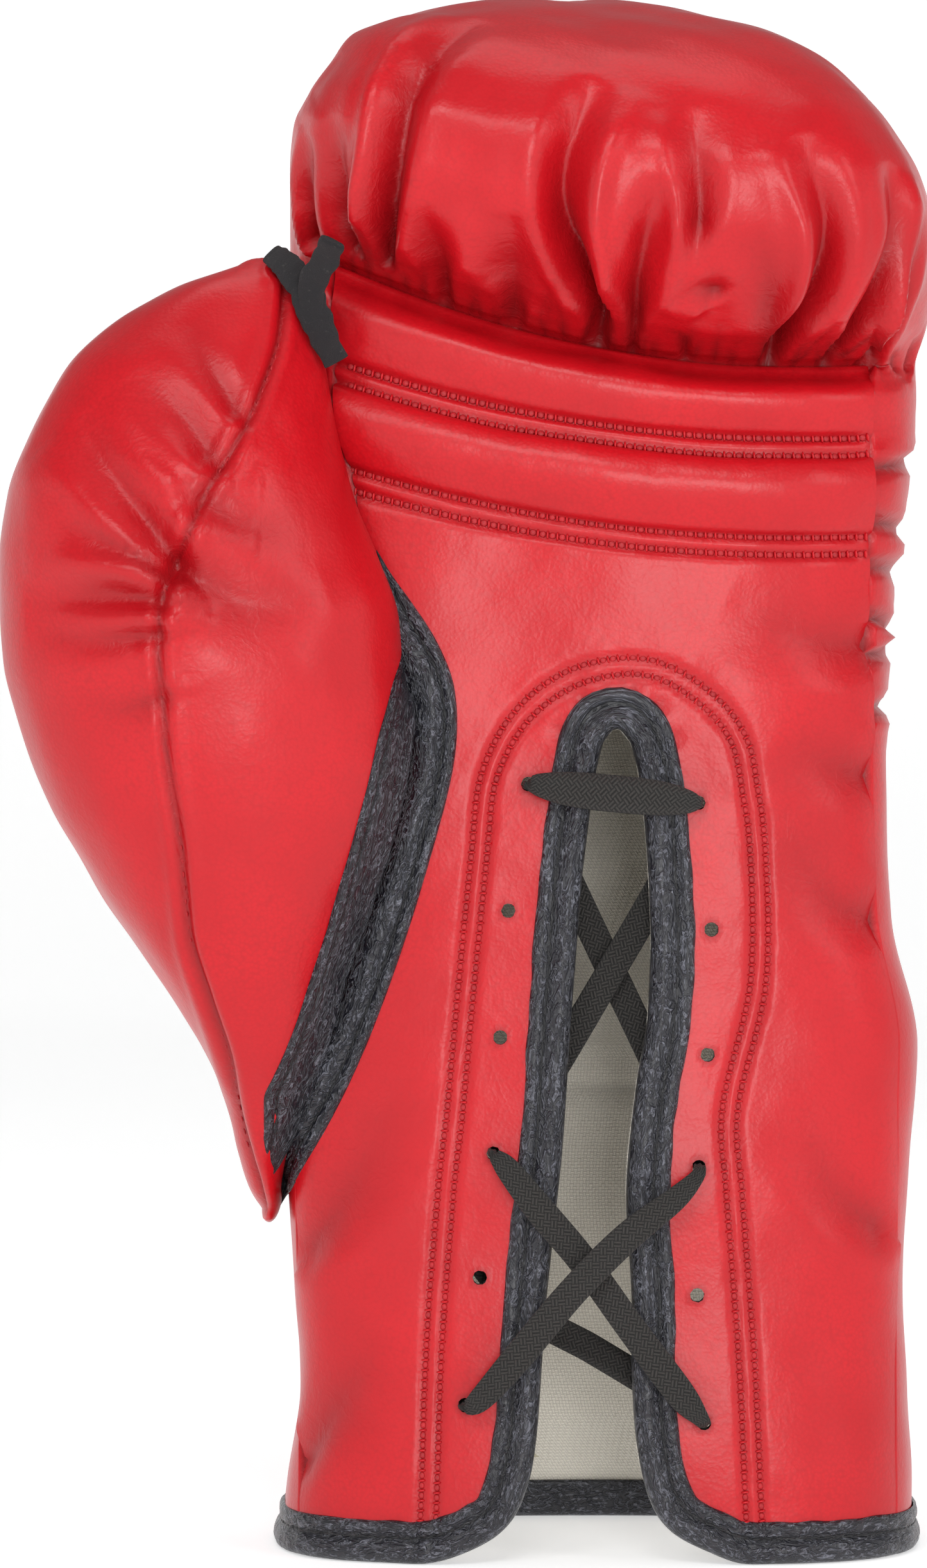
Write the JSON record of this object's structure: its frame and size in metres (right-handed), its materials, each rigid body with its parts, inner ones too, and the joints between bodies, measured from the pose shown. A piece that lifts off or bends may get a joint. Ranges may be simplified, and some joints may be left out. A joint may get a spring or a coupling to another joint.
{
  "type": "lace-up boxing glove",
  "caption": "Padded red leather boxing glove with a laced palm slit, black bindings, a gathered fist and an attached thumb, standing on its cuff.",
  "frame": {"origin": "centre of the glove's bounding box at the cuff hem it stands on", "axes": "+Z from the cuff towards the fist, -Y out of the palm, -X towards the thumb"},
  "size_m": [0.1748, 0.113, 0.293],
  "materials": {
    "leather": "glossy coated leather with a fine grain",
    "binding": "crinkled coated leather tape, semi-gloss",
    "foam": "closed-cell foam",
    "facing": "stiff woven backing",
    "lining": "plain-woven cotton",
    "lace": "flat braid, matt",
    "tip": "smooth",
    "red_thread": "twisted thread, slight sheen",
    "black_thread": "twisted thread",
    "tape": "napped tape, matt"
  },
  "bodies": {
    "hand": {"back_shell": "leather", "palm_panel": "leather", "knuckle_pad": "foam", "wrist_pad": "foam", "finger_bar": "foam", "grip_bar": "foam", "lace_facing": "facing", "back_lining": "lining", "palm_lining": "lining", "slit_binding": "binding", "cuff_binding": "binding", "palm_thumb_binding": "binding", "grip_stitching": "red_thread", "facing_stitching": "red_thread", "binding_stitching": "black_thread", "lace": "lace", "lace_tips": "tip", "thumb_tape": "tape"},
    "thumb": {"thumb_outer": "leather", "thumb_inner": "leather", "thumb_foam": "foam", "thumb_lining": "lining", "thumb_binding": "binding", "thumb_seam_stitching": "red_thread"}
  },
  "joints": [
    {"name": "thumb_swing", "type": "hinge", "parent": "hand", "child": "thumb", "pos_m": [-0.0077, -0.029, 0.152], "axis": [0.3009, 0, 0.9537], "range_deg": [0, 8], "stiffness_Nm_per_rad": 0.5, "deforming": ["thumb_tape"]}
  ]
}
